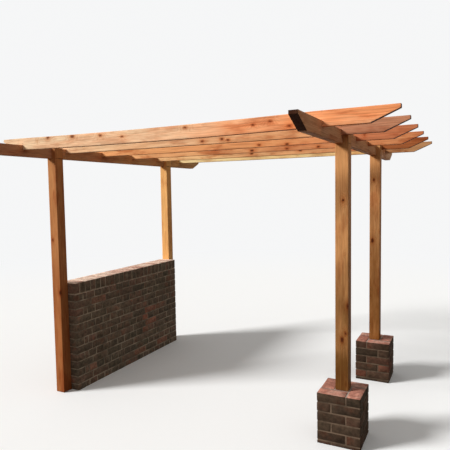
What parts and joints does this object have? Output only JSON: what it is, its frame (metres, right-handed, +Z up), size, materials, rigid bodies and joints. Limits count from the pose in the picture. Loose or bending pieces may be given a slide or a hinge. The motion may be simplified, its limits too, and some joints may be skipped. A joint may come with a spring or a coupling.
{
  "type": "garden pergola",
  "caption": "Open timber pergola with notched rafters over two beams, carried by square posts, brick piers at one side and a low brick wall with an on-edge coping at the other.",
  "frame": {"origin": "on the ground, under the middle of the whole outline", "axes": "+X along the rafters towards the brick piers, +Y from the front to the back along the beams, +Z up"},
  "size_m": [3.43, 3.607, 2.441],
  "materials": {
    "posts": "stained sawn softwood",
    "beams": "stained sawn softwood",
    "rafters": "stained sawn softwood",
    "brickwork": "multi red-brown brick with pale grey mortar"
  },
  "bodies": {
    "root": {"front_left_post": "posts", "front_right_post": "posts", "back_left_post": "posts", "back_right_post": "posts", "left_beam": "beams", "right_beam": "beams", "rafter_1": "rafters", "rafter_2": "rafters", "rafter_3": "rafters", "rafter_4": "rafters", "rafter_5": "rafters", "rafter_6": "rafters", "front_right_pier": "brickwork", "back_right_pier": "brickwork", "brick_wall": "brickwork", "wall_coping": "brickwork"}
  },
  "joints": []
}
